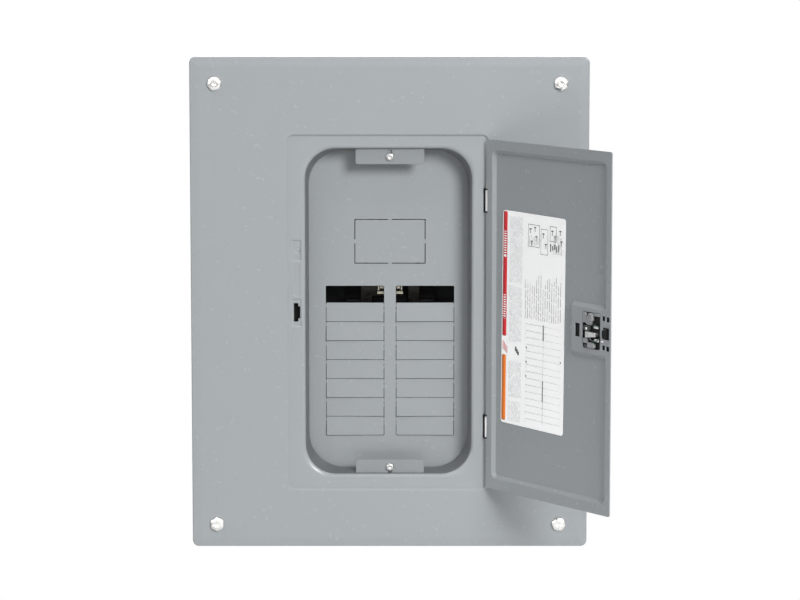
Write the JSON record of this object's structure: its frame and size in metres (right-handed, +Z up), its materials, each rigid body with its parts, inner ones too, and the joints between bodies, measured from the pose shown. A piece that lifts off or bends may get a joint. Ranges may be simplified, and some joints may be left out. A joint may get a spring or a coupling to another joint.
{
  "type": "residential load center",
  "caption": "Wall-recessed electrical load center: a steel box with bus bars, a breaker deadfront, a flush screwed cover and a side-hinged door that latches with a slide.",
  "frame": {"origin": "centre of the enclosure's flat back face, where it meets the wall", "axes": "+X to the right of a person facing the panel, -Y out of the wall towards that person, +Z up"},
  "size_m": [0.4088, 0.2561, 0.4891],
  "materials": {
    "grey_paint": "smooth light blue-grey baked enamel, satin",
    "galvanised_steel": "galvanised sheet, dull spangle",
    "zinc_plate": "bright zinc plate",
    "spring_steel": "bright rolled spring strip",
    "aluminium": "extruded, tin plated, matte",
    "tinned_bus": "tinned bus strip, slightly warm",
    "black_insulator": "black moulded thermoset",
    "latch_moulding": "dark grey moulded plastic",
    "latch_metal": "zinc die casting, bright",
    "green_screw": "green dyed zinc",
    "paper_label": "white coated paper, satin"
  },
  "bodies": {
    "enclosure": {"enclosure_box": "grey_paint", "interior_pan": "galvanised_steel", "bus_insulator": "black_insulator", "line_bus_left": "tinned_bus", "main_lug_left": "aluminium", "main_lug_screw_left": "zinc_plate", "neutral_bar_left": "aluminium", "neutral_post_left_upper": "black_insulator", "neutral_post_left_lower": "black_insulator", "line_bus_right": "tinned_bus", "main_lug_right": "aluminium", "main_lug_screw_right": "zinc_plate", "neutral_bar_right": "aluminium", "neutral_post_right_upper": "black_insulator", "neutral_post_right_lower": "black_insulator", "neutral_strap": "aluminium", "neutral_lug": "aluminium", "neutral_lug_screw": "zinc_plate", "bonding_screw": "green_screw", "ground_bar": "aluminium", "ground_bar_screw_lower": "zinc_plate", "ground_bar_screw_upper": "zinc_plate", "interior_screw_lower_left": "zinc_plate", "interior_screw_lower_right": "zinc_plate", "interior_screw_upper_left": "zinc_plate", "interior_screw_upper_right": "zinc_plate", "cover_trim": "grey_paint", "cover_screw_lower_left": "zinc_plate", "cover_screw_lower_right": "zinc_plate", "cover_screw_upper_left": "zinc_plate", "cover_screw_upper_right": "zinc_plate", "deadfront_plate": "grey_paint", "cover_tab_top": "grey_paint", "cover_tab_screw_top": "zinc_plate", "cover_tab_bottom": "grey_paint", "cover_tab_screw_bottom": "zinc_plate", "hinge_leaf_upper": "zinc_plate", "hinge_pin_upper": "zinc_plate", "hinge_leaf_lower": "zinc_plate", "hinge_pin_lower": "zinc_plate"},
    "door": {"door_panel": "grey_paint", "hinge_knuckle_upper": "zinc_plate", "hinge_knuckle_lower": "zinc_plate", "directory_label": "paper_label", "latch_housing": "latch_moulding", "latch_spring": "spring_steel"},
    "latch": {"latch_slide": "latch_metal"}
  },
  "joints": [
    {"name": "door_hinge", "type": "hinge", "parent": "enclosure", "child": "door", "pos_m": [0.098, -0.0976, 0], "axis": [0, 0, 1], "range_deg": [-126, 39]},
    {"name": "latch_slide", "type": "slide", "parent": "door", "child": "latch", "axis": [0.5878, -0.809, 0], "range_m": [0, 0.0026]}
  ]
}
